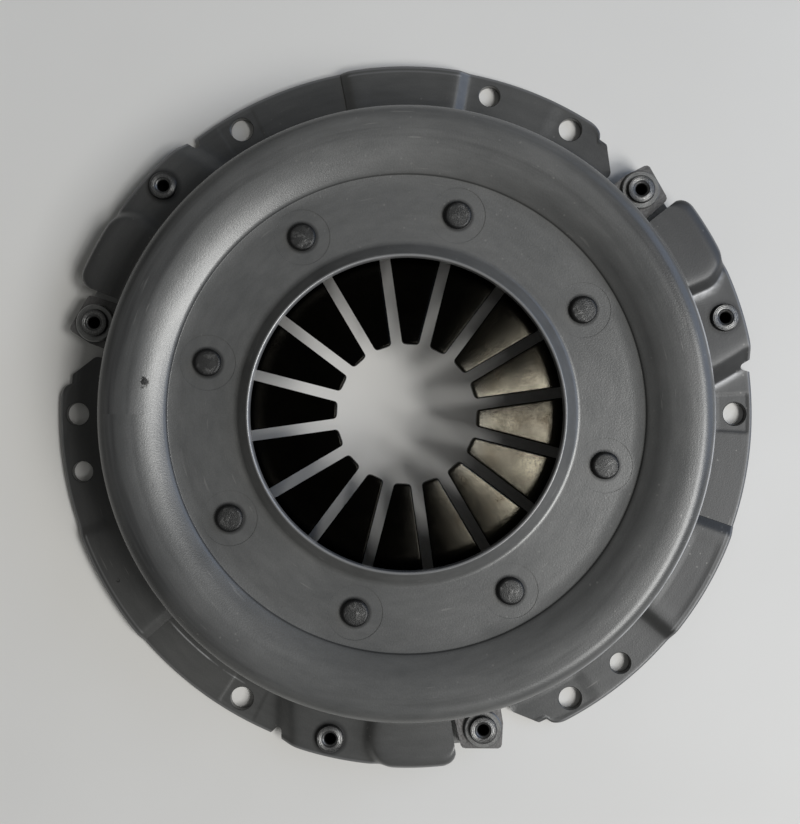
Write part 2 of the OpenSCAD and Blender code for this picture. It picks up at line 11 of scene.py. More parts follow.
import bpy
import numpy as np
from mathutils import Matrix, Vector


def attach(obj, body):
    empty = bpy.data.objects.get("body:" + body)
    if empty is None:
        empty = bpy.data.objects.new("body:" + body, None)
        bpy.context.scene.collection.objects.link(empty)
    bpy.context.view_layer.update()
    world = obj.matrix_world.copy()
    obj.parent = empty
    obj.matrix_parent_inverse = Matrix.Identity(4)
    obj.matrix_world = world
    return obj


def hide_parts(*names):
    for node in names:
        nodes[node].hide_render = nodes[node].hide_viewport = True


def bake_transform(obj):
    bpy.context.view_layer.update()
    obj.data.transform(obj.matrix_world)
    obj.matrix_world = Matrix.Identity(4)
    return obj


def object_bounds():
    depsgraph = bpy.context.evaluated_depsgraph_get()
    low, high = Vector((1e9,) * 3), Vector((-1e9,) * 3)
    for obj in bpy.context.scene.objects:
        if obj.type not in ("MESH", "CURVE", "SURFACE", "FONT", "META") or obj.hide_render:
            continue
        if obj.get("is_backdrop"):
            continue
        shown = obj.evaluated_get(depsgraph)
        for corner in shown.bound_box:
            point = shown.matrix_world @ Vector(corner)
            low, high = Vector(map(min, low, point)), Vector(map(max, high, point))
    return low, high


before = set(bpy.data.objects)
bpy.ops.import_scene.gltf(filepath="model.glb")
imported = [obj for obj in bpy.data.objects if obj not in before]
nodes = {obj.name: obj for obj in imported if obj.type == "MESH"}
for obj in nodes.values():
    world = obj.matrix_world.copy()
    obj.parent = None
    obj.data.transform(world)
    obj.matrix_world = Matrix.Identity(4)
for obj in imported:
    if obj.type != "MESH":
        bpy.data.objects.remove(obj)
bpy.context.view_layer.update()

# %% [markdown]
# ## Sizes
#
# All sizes are in millimetres here and become metres only when a mesh is written. The shapes
# repeat every 120 degrees, so angles are measured inside one third of the cover, which starts at
# -19 degrees with the first low segment.

# %% Sizes of the cover sheet
MM = 0.001
SHEET = 4.5
RIM_R = 160.3
WALL_R, DRAFT = 135.6, 0.08
FOOT, FOOT_R = 3.5, 139.0
RING_Z, RING_R, RING_STEP = 41.5, 102.7, 0.8
CREST_Z, CREST_R, SHOULDER = 48.0, 123.0, 7.0
COLLAR_R, COLLAR_H, COLLAR_SLOPE, COLLAR_RIM, COLLAR_FILLET = 66.8, 6.0, 50.0, 0.8, 3.0
MID_Z, PAD_Z, BRIDGE_Z = 3.0, 8.5, 14.0
WINDOW_TOP, WINDOW_START = 20.5, 38.3
WINDOW_PLAN = ((122.0, WINDOW_START), (122.0, 49.5), (146.0, 49.5), (RIM_R, 55.0),
               (RIM_R + 20, 58.5), (RIM_R + 20, WINDOW_START))
NOTCH_A, NOTCH_DEPTH, NOTCH_HALF_TIP, NOTCH_HALF_MOUTH = 8.0, 4.5, 1.0, 4.4
PUNCH_A, PUNCH_INSET = 210.0, 7.3
BOLT_R, BOLT_D, DOWEL_D = 152.0, 10.5, 9.6
DOWELS = (75.3, 190.1, 310.7)
RIVET_R, RIVET_START, RIVETS = 87.8, 30.5, 8
COIN_R, COIN_DEPTH = 11.8, 0.2
STRAP_A, STRAP_R, EAR_A, EAR_R, STRAP_HOLE_R = 16.8, 151.3, 43.7, 146.9, 4.1


def wall_out(z):
    """The wall's outer radius: its foot's radius less the draft times the height."""
    return WALL_R - DRAFT * z


def polar(r, degrees):
    """The x and y of a point at a radius and an angle round the axis."""
    a = np.radians(degrees)
    return r * np.cos(a), r * np.sin(a)


print("cover of", SHEET, "mm sheet,", 2 * RIM_R, "mm across")

# %% [markdown]
# ## From a grid of points to a mesh
#
# Each surface below is worked out as whole arrays: a row is one cross-section, and the rows
# follow each other along the part. A grid of such points becomes a mesh by joining every point
# to its neighbours in the next row. Wrapping the rows or the columns closes a tube or a ring.

# %% Grid to mesh
def quads(rows, columns, wrap_rows):
    """Point numbers of the four corners of each cell, with the columns closed on themselves."""
    last = rows if wrap_rows else rows - 1
    i, j = np.meshgrid(np.arange(last), np.arange(columns), indexing="ij")
    up, right = (i + 1) % rows, (j + 1) % columns
    corners = (i * columns + j, i * columns + right, up * columns + right, up * columns + j)
    return np.stack(corners, axis=-1).reshape(-1, 4)


def surface(name, x, y, z, wrap_rows=False, flip=False):
    """A closed mesh from a grid in mm: columns always close, and open rows get an end cap."""
    rows, columns = x.shape
    faces = quads(rows, columns, wrap_rows).tolist()
    if not wrap_rows:
        faces.append(list(range(columns))[::-1])
        faces.append([(rows - 1) * columns + j for j in range(columns)])
    if flip:
        faces = [f[::-1] for f in faces]
    points = np.stack([x, y, z], axis=-1).reshape(-1, 3) * MM
    mesh = bpy.data.meshes.new(name)
    mesh.from_pydata(points.tolist(), [], faces)
    mesh.validate()
    return mesh


def place(name, mesh, finish, crease):
    """Links a mesh as an object, smooth up to the crease angle in degrees."""
    mesh.shade_smooth()
    mesh.set_sharp_from_angle(angle=math.radians(crease))
    mesh.materials.clear()
    mesh.materials.append(finish)
    piece = bpy.data.objects.new(name, mesh)
    bpy.context.scene.collection.objects.link(piece)
    return piece


def arc(cx, cz, radius, start, end, count):
    """Points of an arc in the radius and height plane, angles in degrees."""
    a = np.radians(np.linspace(start, end, count))
    return cx + radius * np.cos(a), cz + radius * np.sin(a)


# %% [markdown]
# ## Shader maths as plain arithmetic
#
# A pattern in a material is a formula: noise times a mask, plus a base value. Wrapping a socket
# in a small class lets the formula be written as Python arithmetic, and each operator adds its
# Math node. Colours go through Mix nodes instead, because a Math node would turn them grey.

# %% A socket that can do sums
class Signal:
    """One output of a node. Arithmetic on it adds Math nodes."""

    def __init__(self, finish, socket):
        self.finish, self.socket = finish, socket

    def math(self, operation, *values, clamp=False):
        settings = {"operation": operation, "use_clamp": clamp}
        return self.finish.node("ShaderNodeMath", settings, *values)

    def __add__(self, other):
        return self.math("ADD", self, other)

    def __sub__(self, other):
        return self.math("SUBTRACT", self, other)

    def __rsub__(self, other):
        return self.math("SUBTRACT", other, self)

    def __mul__(self, other):
        return self.math("MULTIPLY", self, other)

    def __truediv__(self, other):
        return self.math("DIVIDE", self, other)

    __radd__ = __add__

    def between(self, low, high):
        """0 at low, 1 at high, straight between and held outside."""
        span = high - low
        return self.math("MULTIPLY_ADD", self, 1 / span, -low / span, clamp=True)

    def power(self, exponent):
        return self.math("POWER", self, exponent)

    def sine(self):
        return self.math("SINE", self)

    def cosine(self):
        return self.math("COSINE", self)

    def near(self, middle, width):
        """1 at the middle, falling to 0 at a distance of width."""
        distance = self.math("ABSOLUTE", self - middle)
        return self.math("MULTIPLY_ADD", distance, -1 / width, 1.0, clamp=True)


class Finish:
    """A material with one Principled shader, and the calls that build its patterns."""

    def __init__(self, name, **constants):
        self.material = bpy.data.materials.new(name)
        self.material.use_nodes = True
        self.tree = self.material.node_tree
        self.shader = self.tree.nodes["Principled BSDF"]
        for socket, value in constants.items():
            self.shader.inputs[socket.replace("_", " ")].default_value = value
        self.coords = self.node("ShaderNodeTexCoord", out="Object")

    def feed(self, socket, value):
        """Gives an input a link or a plain value."""
        if isinstance(value, Signal):
            self.tree.links.new(value.socket, socket)
        elif socket.type == "RGBA" and len(value) == 3:
            socket.default_value = (*value, 1.0)
        else:
            socket.default_value = value

    def node(self, kind, settings=None, *values, out=0, **named):
        """Adds a node: settings first, then its inputs in order or by name."""
        made = self.tree.nodes.new(kind)
        for key, value in (settings or {}).items():
            setattr(made, key, value)
        for index, value in enumerate(values):
            self.feed(made.inputs[index], value)
        for key, value in named.items():
            self.feed(made.inputs[key.replace("_", " ")], value)
        return Signal(self, made.outputs[out])

    def set(self, **links):
        """Feeds inputs of the shader by name."""
        for socket, value in links.items():
            self.feed(self.shader.inputs[socket.replace("_", " ")], value)

    def mix(self, factor, first, second):
        """A colour between two, by a factor from 0 to 1."""
        made = self.tree.nodes.new("ShaderNodeMix")
        made.data_type = "RGBA"
        # For colours the node's inputs are number 0, 6 and 7, and its output is number 2.
        self.feed(made.inputs[0], factor)
        self.feed(made.inputs[6], first)
        self.feed(made.inputs[7], second)
        return Signal(self, made.outputs[2])

    def noise(self, scale, detail=3.0, rough=0.5, at=None, warp=0.0):
        """Soft random pattern from 0 to 1, scale in patches per metre."""
        return self.node("ShaderNodeTexNoise", None, Vector=at or self.coords, Scale=scale,
                         Detail=detail, Roughness=rough, Distortion=warp, out="Fac")

    def cells(self, scale):
        """Distance to the nearest random point, for specks of dust."""
        return self.node("ShaderNodeTexVoronoi", None, Vector=self.coords, Scale=scale,
                         out="Distance")

    def axes(self):
        """The three Object coordinates in metres."""
        split = self.tree.nodes.new("ShaderNodeSeparateXYZ")
        self.tree.links.new(self.coords.socket, split.inputs[0])
        return [Signal(self, split.outputs[i]) for i in range(3)]

    def radius(self):
        """Distance from the part's axis in metres."""
        x, y, _ = self.axes()
        return (x * x + y * y).power(0.5)

    def angle(self):
        """Angle round the part's axis in radians, from minus pi to pi."""
        x, y, _ = self.axes()
        return x.math("ARCTAN2", y, x)

    def from_centre(self, count, start, ring):
        """Distance in metres to the nearest of some centres, evenly spaced on a ring in mm.

        The angle is folded into one share of the circle, so that one formula serves them all.
        """
        share = 2 * math.pi / count
        # Four whole turns more keep the angle positive, as the fold needs.
        angle = self.angle() + (8 * math.pi + share / 2 - math.radians(start))
        folded = angle.math("MODULO", angle, share) - share / 2
        r = self.radius()
        across, along = r * folded.cosine() - ring * MM, r * folded.sine()
        return (across * across + along * along).power(0.5)

    def around(self, stretch):
        """Coordinates that run round the axis: radius, angle times a small stretch, height."""
        _, _, z = self.axes()
        return self.node("ShaderNodeCombineXYZ", None, self.radius(), self.angle() * stretch, z)

    def bump(self, height, strength, distance):
        """Relief from a height pattern, over a distance in metres."""
        self.set(Normal=self.node("ShaderNodeBump", None, Strength=strength, Distance=distance,
                                  Height=height))


def grey(value):
    """A neutral colour."""
    return value, value, value


# %% [markdown]
# ## The cover's finish
#
# The cover is phosphated and oiled sheet steel: a dark satin grey with soft cloudy patches, faint
# drawing marks that run round the axis, a fine grain, and a few pale specks of dust. Every other
# mark is a mask from 0 to 1, the product of ranges of the radius, the height and the place, all
# in metres. Painted highlights brighten the shoulder's edge, a low edge, the feet of two ramps and
# a few rims. Painted shade darkens the flange, the crown, the hollow beside it and the rivets'
# seats.

# %% Painted highlights
def painted_highlight_lines(f, x, y, z, r):
    """Painted highlight lines on the shoulder's edge, a low edge and two ramps' feet, broken up by
    a noise.
    """
    right = x.between(0.06, 0.11) * y.between(0.02, -0.02)
    beside_pad = y.between(0.014, 0.018) * y.between(0.054, 0.050) * x.between(0.10, 0.11)
    shoulder = z.near(0.0440, 0.0017) * 1.6 * r.between(0.1295, 0.1305)
    low_edge = (r.near(0.1453, 0.0005) * z.between(0.0056, 0.0046)
                * y.between(-0.08, -0.09) * x.between(-0.074, -0.080))
    feet = (z.near(0.0052, 0.0005) * y.between(0.006, 0.008)
            + z.near(0.0136, 0.0005) * y.between(0.04, 0.05))
    feet = feet * x.between(0.115, 0.120) * r.between(0.1395, 0.1405) * r.between(0.1580, 0.1560)
    lines = shoulder * (right + beside_pad) + low_edge + feet * 0.6
    return lines * f.noise(90, 3).between(0.30, 0.50)


def painted_edge_highlights(z, r):
    """Painted highlights on the collar's rim, the bridges' outer edge and the outer edge of the
    sunk panels.
    """
    collar = r.between(0.0682, 0.0672) * z.between(0.0415, 0.0435)
    bridge = r.near(0.1594, 0.0008) * z.between(0.022, 0.020)
    panel = r.near(0.1576, 0.0006) * z.near(0.0072, 0.0006)
    return collar * 0.4 + bridge * 0.25 + panel * 0.25


# %% Painted shade, and a pit
PIT_X, PIT_Y = -0.1112, 0.0136


def painted_shade_sides(x, z, r):
    """Painted shade on the crown and the hollow beside it, darker towards the right and the left.
    """
    crown = r.between(0.114, 0.124) * z.between(0.030, 0.036)
    crown = crown * (x.between(0.05, 0.11) * 0.35 + x.between(-0.05, -0.11) * 0.5)
    hollow = r.near(0.1075, 0.006) * z.between(0.0405, 0.0415)
    hollow = hollow * (x.between(0.03, 0.09) + x.between(-0.04, -0.09) * 0.5)
    return hollow * 0.45 + crown


def painted_shade_lines(f, z, r):
    """Painted shade round the rivets' heads, on the coined circles and at the ring's step."""
    head = f.from_centre(RIVETS, RIVET_START, RIVET_R)
    coined = head.near((COIN_R + 0.1) * MM, 0.00035)
    lines = head.near(0.0062, 0.0012) * 0.75 + coined * 0.12 + r.near(RING_R * MM, 0.0005) * 0.6
    strap_head = f.from_centre(3, STRAP_A, STRAP_R).near(0.0068, 0.0018)
    return lines * z.between(0.040, 0.041) + strap_head * 0.7


def pit_place(f, x, y, z):
    """A dark pit, 4 mm across, on the shoulder's left: near a point, with a ragged edge."""
    across, along = x - PIT_X, y - PIT_Y
    away = (across * across + along * along).power(0.5) + (f.noise(600, 2) - 0.5) * 0.004
    return away.between(0.0023, 0.0015) * z.between(0.040, 0.042)


# %% Cover finish
def cover_finish():
    """Two greys mixed by the tone, then each layer of marks, painted shade and painted highlights
    over the one before.
    """
    f = Finish("satin_phosphate", IOR=1.5)
    x, y, z = f.axes()
    r = f.radius()
    cloud = f.noise(14, 4, 0.55)
    marks = f.noise(260, 3, 0.6, at=f.around(0.03))
    grain = f.noise(1500, 2, 0.6)
    dust = f.cells(210).between(0.12, 0.07) * f.noise(9, 2).between(0.5, 0.6)
    scratch = f.noise(700, 1, 0.5, at=f.around(0.010)).between(0.70, 0.74)
    scratch = scratch * f.noise(30, 2).between(0.5, 0.62)
    bands = f.noise(150, 3, 0.55, at=f.around(0.006)).between(0.48, 0.66)
    bands = bands * z.between(0.036, 0.040) * r.between(0.110, 0.118)
    flange = z.between(0.0215, 0.0185) * r.between(0.1385, 0.1400)
    right, left = x.between(0.06, 0.13), x.between(-0.11, -0.14)
    pit = pit_place(f, x, y, z)
    tone = cloud * 0.5 + marks * 0.35 + grain * 0.15
    colour = f.mix(tone.between(0.3, 0.72), (0.090, 0.091, 0.088), (0.158, 0.157, 0.150))
    # The flange's layer is painted shade, deeper on the right and the left. The next adds painted
    # shade on the crown and hollow to the drawing bands, the fourth adds painted shade round heads
    # and steps to the pit, and the last is painted highlights.
    layers = (
        (flange * (0.30 + right * 0.42 + left * 0.35), grey(0.014)),
        (painted_shade_sides(x, z, r) + bands * 0.35, grey(0.02)),
        (dust * 0.25 + scratch * 0.3, (0.30, 0.29, 0.27)),
        (painted_shade_lines(f, z, r) + pit * 0.98, grey(0.015)),
        (painted_highlight_lines(f, x, y, z, r) * 0.9 + painted_edge_highlights(z, r), grey(0.48)),
    )
    for amount, layer in layers:
        colour = f.mix(amount, colour, layer)
    gloss = (cloud - 0.5) * 0.12 + (grain - 0.5) * 0.08
    f.set(Base_Color=colour, Metallic=0.35 + pit * 0.65,
          Roughness=0.33 + flange * right * 0.12 + gloss)
    f.bump(grain * 0.6 + marks * 0.4, 0.18, 0.0004)
    return f.material


cover_paint = cover_finish()
print("finish", cover_paint.name)

# %% [markdown]
# ## The flange's levels
#
# Round the cover the flange steps between four heights: low segments that bolt to the flywheel,
# a middle level, raised pads for the drive straps and higher bridges over them. Each step is a
# sloping run of a fixed length, with corners that the press leaves round.

# %% Height of the flange's underside
BEND_START, BEND_POWER = 147.0, 2.2
LEAN_START = 158.0
RAMPS = (
    # middle angle, half of the run in mm, rise in mm, rounding in mm, then in degrees how far the
    # ramp bends along at the rim and leans along at the wall's foot
    (9.5, 4.6, PAD_Z, 1.0, 0.0, -3.0),
    (23.35, 2.15, BRIDGE_Z - PAD_Z, 0.9, 3.2, 0.0),
    (43.5, 3.0, -BRIDGE_Z, 0.7, 0.0, 0.0),
    (80.15, 2.15, MID_Z, 0.7, 0.0, 0.0),
    (100.35, 2.15, -MID_Z, 0.7, 0.0, 0.0),
)


def rounded_step(y, half, soft):
    """0 to 1 over a run from -half to half: the difference of two rounded corners.

    A corner at t is half of t plus the root of t squared plus 4 times the rounding squared.
    """
    corner = lambda t: (t + np.sqrt(t * t + 4 * soft * soft)) / 2
    return (corner(y + half) - corner(y - half)) / (2 * half)


def within_third(angle):
    """An angle in degrees brought into the third from -19 to 101."""
    return (angle + 19.0) % 120.0 - 19.0


def flange_height(angle, radius):
    """Sum of the ramps' rises, each at its own distance along the circle.

    A ramp with a bend swings along the circle towards the rim, by a power of the way out, which
    rounds the raised part's corner as seen from above. A ramp that leans runs aslant instead.
    """
    a = within_third(angle)
    height = np.zeros(np.broadcast(angle, radius).shape)
    outer = np.clip((radius - BEND_START) / (RIM_R - BEND_START), 0, 1) ** BEND_POWER
    inner = np.clip((LEAN_START - radius) / (LEAN_START - FOOT_R), 0, 1)
    for middle, half, rise, soft, bend, lean in RAMPS:
        run = radius * np.sin(np.radians(a - middle - bend * outer - lean * inner))
        height = height + rise * rounded_step(run, half, soft)
    # The ramps' tails leave a hundredth of a mm at the third's start, so it fades in from zero.
    near_start = np.clip((a + 19.0) / 4.0, 0, 1)
    return height * near_start


print(len(RAMPS), "ramps in each third")

# %% [markdown]
# ## The pressed cover
#
# The cover is one sheet bent into a closed section: rim, flange, fillet, wall, shoulder, flat
# riveting ring, collar, and back along the inside. So its surface is one loop of points in the
# radius and height plane, carried round the axis. Only the flange's height changes on the way,
# and the loop's lower points follow it. Holes and windows are cut out afterwards.

# %% Angles of the cross-sections
CLOSE = (
    # from, to and step in degrees, where a ramp or an edge needs more cross-sections
    (-3.7, 3.6, 0.3), (3.6, 13.4, 0.25), (22.0, 24.8, 0.16), (24.8, 28.6, 0.22),
    (34.0, 38.6, 0.3), (54.8, 58.4, 0.25), (78.8, 81.6, 0.16), (99.0, 100.99, 0.16),
)
third = np.concatenate([np.arange(-19.0, 101.0, 1.0)] + [np.arange(*run) for run in CLOSE])
third = np.unique(np.round(third, 3))
third = third[np.concatenate([[True], np.diff(third) > 0.05])]
angles = np.concatenate([third + 120.0 * s for s in range(3)])
print(len(angles), "cross-sections round the cover")

# %% The sheet's cross-section
# The crown is an arc with its top at the crest, which ends at the ring's step: its radius is the
# run squared plus the drop squared, over twice the drop.
bulge_run, bulge_drop = CREST_R - RING_R, CREST_Z - RING_Z - RING_STEP
bulge = (bulge_run**2 + bulge_drop**2) / (2 * bulge_drop)
bulge_z = CREST_Z - bulge
bulge_a = math.degrees(math.asin(bulge_run / bulge))
under_z = RING_Z - SHEET
under_a = math.degrees(math.acos((under_z - bulge_z) / (bulge - SHEET)))
shoulder_z = CREST_Z - SHOULDER
shoulder_c = wall_out(shoulder_z) - SHOULDER
slope = math.radians(COLLAR_SLOPE)
foot_r = (COLLAR_R + COLLAR_RIM * (1 + math.sin(slope))
          + (COLLAR_H - COLLAR_RIM * (1 - math.cos(slope))) / math.tan(slope))
fillet_r = foot_r + COLLAR_FILLET * math.tan(slope / 2)
print(f"the collar's slope runs from radius {COLLAR_R + COLLAR_RIM:.1f} to {foot_r:.1f} mm")


def upper_loop():
    """The part of the section that never changes, from the wall's top over the collar and back."""
    rim_z, lip = RING_Z + COLLAR_H - COLLAR_RIM, COLLAR_FILLET + 2
    parts = [
        arc(shoulder_c, shoulder_z, SHOULDER, 0, 90, 10),
        arc(CREST_R, bulge_z, bulge, 90, 90 + bulge_a - 0.4, 16),
        ([RING_R - 0.25], [RING_Z + 0.12]),
        (np.linspace(RING_R - 0.6, fillet_r + 0.3, 6), [RING_Z] * 6),
        arc(fillet_r, RING_Z + COLLAR_FILLET, COLLAR_FILLET, 267, 270 - COLLAR_SLOPE, 7),
        arc(COLLAR_R + COLLAR_RIM, rim_z, COLLAR_RIM, 90 - COLLAR_SLOPE, 180, 8),
        arc(COLLAR_R + lip, under_z + lip, lip, 180, 270, 6),
        arc(CREST_R, bulge_z, bulge - SHEET, 90 + under_a, 90, 10),
        arc(shoulder_c, shoulder_z, SHOULDER - SHEET, 90, 0, 5),
    ]
    return np.concatenate([p[0] for p in parts]), np.concatenate([p[1] for p in parts])


# %% The flange's plan
def plateau(angle, start, end, edge):
    """1 between two angles, with a slope of a width in degrees inside each end, 0 elsewhere."""
    return np.clip((angle - start) / edge, 0, 1) * np.clip((end - angle) / edge, 0, 1)


def rim_radius(angle):
    """The rim's radius: a circle, less a quarter ellipse at each corner beside a window.

    A corner's depth is a number of mm times 1 less the root of 1 less t squared, where t goes
    from 0 to 1 over the last degrees before the window.
    """
    a = within_third(angle)
    before = np.clip(1 - (WINDOW_START - a) / 2.6, 0, 1) * (a < 39.5)
    after = np.clip(1 - (a - 54.9) / 2.8, 0, 1) * (a > 50.0)
    bow = lambda t: 1 - np.sqrt(1 - t**2)
    return RIM_R - 5.5 * bow(before) - 4.5 * bow(after)


def pressed_in(angle, r):
    """How deep the bolts' coined pads and the middle segments' panels lie, in mm."""
    a = within_third(angle)
    coined = np.maximum(plateau(a, -3.3, 3.7, 0.4), plateau(a, 49.0, 64.0, 0.4))
    panel = plateau(a, 82.6, 97.9, 0.8)
    rim_side = np.clip((RIM_R - 2.6 - r) / 2.4, 0, 1)
    return (0.3 * coined * np.clip((r - 143.0) / 1.0, 0, 1)
            + 0.25 * panel * np.clip((r - 143.0) / 0.9, 0, 1) * rim_side)


# %% Columns of the section, each a radius and a height at every angle
def inner_shares(count):
    """Even shares from 0 to 1, without the two ends."""
    return np.linspace(0, 1, count)[1:-1]


def bend_columns(cx, cz, r, start, end, count):
    """An arc whose centre moves with the angle round the cover."""
    turns = np.radians(np.linspace(start, end, count))
    return [(cx + r * np.cos(t), cz + r * np.sin(t)) for t in turns]


def upper_side(a, rim):
    """From the rim's lower edge over its rounded upper edge, in along the flange, up the wall."""
    top = lambda r: flange_height(a, r) + SHEET
    columns = [(rim - 0.5, flange_height(a, rim)), (rim, flange_height(a, rim) + 0.5)]
    # The pads' and low segments' edges are sharp, and the bridges' edges are well rounded.
    raised = np.clip((flange_height(a, RIM_R - 3.0) - PAD_Z) / (BRIDGE_Z - PAD_Z), 0, 1)
    edge, drop = 1.5 + 4.0 * raised, 1.5 + 2.6 * raised
    for t in np.radians(np.linspace(0, 90, 6)):
        r = rim - edge + edge * np.cos(t)
        columns.append((r, top(r) - drop + drop * np.sin(t)))
    for share in inner_shares(20):
        r = rim - edge + (WALL_R + FOOT - rim + edge) * share
        columns.append((r, top(r) - pressed_in(a, r)))
    foot = top(FOOT_R) + FOOT
    columns += bend_columns(wall_out(foot) + FOOT, foot, FOOT, 270, 180, 8)
    for share in inner_shares(8):
        z = foot + (shoulder_z - foot) * share
        columns.append((wall_out(z), z))
    return columns


def lower_side(a, rim):
    """Down the wall's inside, round the fillet and out along the flange's underside."""
    bend = FOOT + SHEET
    foot = flange_height(a, FOOT_R) + bend
    columns = []
    for share in inner_shares(7):
        z = shoulder_z + (foot - shoulder_z) * share
        columns.append((wall_out(z) - SHEET, z))
    columns += bend_columns(wall_out(foot) - SHEET + bend, foot, bend, 180, 270, 7)
    for share in inner_shares(7):
        r = WALL_R + FOOT + (rim - 0.5 - WALL_R - FOOT) * share
        columns.append((r, flange_height(a, r)))
    return columns


def cover_grid():
    """Radius and height of every point: rows are angles, columns run round the section."""
    a = angles[:, None]
    rim = rim_radius(a)
    columns = upper_side(a, rim) + list(zip(*upper_loop())) + lower_side(a, rim)
    return [np.concatenate([np.broadcast_to(c[k], a.shape) for c in columns], axis=1)
            for k in (0, 1)]


# %% The cover's mesh
radius, height = cover_grid()
turn = np.radians(angles)[:, None]
cover_mesh = surface("cover_sheet", radius * np.cos(turn), radius * np.sin(turn), height,
                     wrap_rows=True, flip=True)
print("cover section", radius.shape[1], "points,", len(cover_mesh.polygons), "faces")

# %% [markdown]
# ## Holes, notches and windows
#
# A punch makes a hole with a slightly rolled edge on the side it enters. So each cutter is a
# turned pin that flares at the sheet's two faces. The three windows are prisms with the plan of
# the real opening, and so are the notches in the rim. A shallow coined circle goes round each
# rivet. All cutters are joined and taken away from the sheet in one Boolean.

# %% Shapes of the cutters
def plug(name, centre, radii, heights, count=48):
    """A closed turned body at a place on the sheet, from a profile of radii and heights."""
    a = np.linspace(0, 2 * np.pi, count, endpoint=False)[None, :]
    r, z = np.array(radii)[:, None], np.array(heights)[:, None]
    return surface(name, centre[0] + r * np.cos(a), centre[1] + r * np.sin(a), z + 0 * a)


def pin(centre, r, low, high, flare=0.0):
    """A hole's cutter, wider by flare at the sheet's lower and upper faces."""
    return plug("pin", centre, [r + flare + 2, r, r, r + flare + 2],
                [low - 2, low + flare, high - flare, high + 2])


def prism(name, points, low, high):
    """A straight prism over a plan, from low to high, with its corners taken anticlockwise."""
    p = np.array(points)
    if np.sum(p[:, 0] * np.roll(p[:, 1], -1) - p[:, 1] * np.roll(p[:, 0], -1)) < 0:
        p = p[::-1]
    x = np.stack([p[:, 0], p[:, 0]])
    y = np.stack([p[:, 1], p[:, 1]])
    z = np.stack([np.full(len(p), low), np.full(len(p), high)])
    return surface(name, x, y, z)


def rounded(points, radius):
    """A plan with each corner replaced by a short quadratic arc between its two sides.

    A point on it is (1 - t) squared times one end, plus 2 t (1 - t) times the corner, plus t
    squared times the other end.
    """
    p = np.array(points, float)
    out = []
    for before, corner, after in zip(np.roll(p, 1, 0), p, np.roll(p, -1, 0)):
        u, v = before - corner, after - corner
        cut = min(radius, np.linalg.norm(u) / 2, np.linalg.norm(v) / 2)
        a, b = corner + u / np.linalg.norm(u) * cut, corner + v / np.linalg.norm(v) * cut
        for t in np.linspace(0, 1, 5):
            out.append((1 - t) ** 2 * a + 2 * t * (1 - t) * corner + t * t * b)
    return np.array(out)


# %% All cutters of the cover
ROLLED = 0.35
BELOW = -3.0
cutters = [pin(polar(BOLT_R, 60 * k), BOLT_D / 2, 0.0, SHEET - 0.3, ROLLED) for k in range(6)]
cutters += [pin(polar(BOLT_R, a), DOWEL_D / 2, 0.0, SHEET, ROLLED) for a in DOWELS]
for k in range(RIVETS):
    cutters.append(plug("coin", polar(RIVET_R, RIVET_START + 45 * k), [COIN_R, COIN_R + 0.3],
                        [RING_Z - COIN_DEPTH, RING_Z + 2.0], 96))
middle_top = MID_Z + SHEET
cutters.append(plug("punch", polar(RIM_R - PUNCH_INSET, PUNCH_A), [0.6, 1.5],
                    [middle_top - 0.8, middle_top + 0.6], 24))
for s in range(3):
    turn_by = 120 * s
    cutters.append(pin(polar(STRAP_R, STRAP_A + turn_by), STRAP_HOLE_R, PAD_Z, PAD_Z + SHEET))
    plan = [polar(r, a + turn_by) for r, a in WINDOW_PLAN]
    cutters.append(prism("window", rounded(plan, 1.5), BELOW, WINDOW_TOP))
    outwards = np.array(polar(1.0, NOTCH_A + turn_by))
    sideways = np.array([-outwards[1], outwards[0]])
    tip, mouth = outwards * (RIM_R - NOTCH_DEPTH), outwards * (RIM_R - NOTCH_DEPTH + 8)
    plan = [tip - sideways * NOTCH_HALF_TIP, mouth - sideways * NOTCH_HALF_MOUTH,
            mouth + sideways * NOTCH_HALF_MOUTH, tip + sideways * NOTCH_HALF_TIP]
    cutters.append(prism("notch", rounded(plan, 1.4), BELOW, PAD_Z + SHEET + 3))
print(len(cutters), "cutters")

# %% Cut the sheet
def joined(name, meshes):
    """Several meshes as one object."""
    made = []
    for mesh in meshes:
        o = bpy.data.objects.new(name, mesh)
        bpy.context.scene.collection.objects.link(o)
        made.append(o)
    with bpy.context.temp_override(active_object=made[0], selected_editable_objects=made):
        bpy.ops.object.join()
    return made[0]


def cut(mesh, meshes, finish, name):
    """The mesh less the cutters, as a finished object."""
    body = bpy.data.objects.new(name + "_raw", mesh)
    bpy.context.scene.collection.objects.link(body)
    tool = joined("cutter", meshes)
    step = body.modifiers.new("cut", "BOOLEAN")
    step.operation, step.object, step.solver = "DIFFERENCE", tool, "MANIFOLD"
    view = bpy.context.evaluated_depsgraph_get()
    result = bpy.data.meshes.new_from_object(body.evaluated_get(view))
    bpy.data.objects.remove(body)
    bpy.data.objects.remove(tool)
    return place(name, result, finish, 38.0)


cover = cut(cover_mesh, cutters, cover_paint, "cover_sheet")
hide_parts("cover")
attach(cover, "cover_assembly")
print("cover", len(cover.data.polygons), "faces")
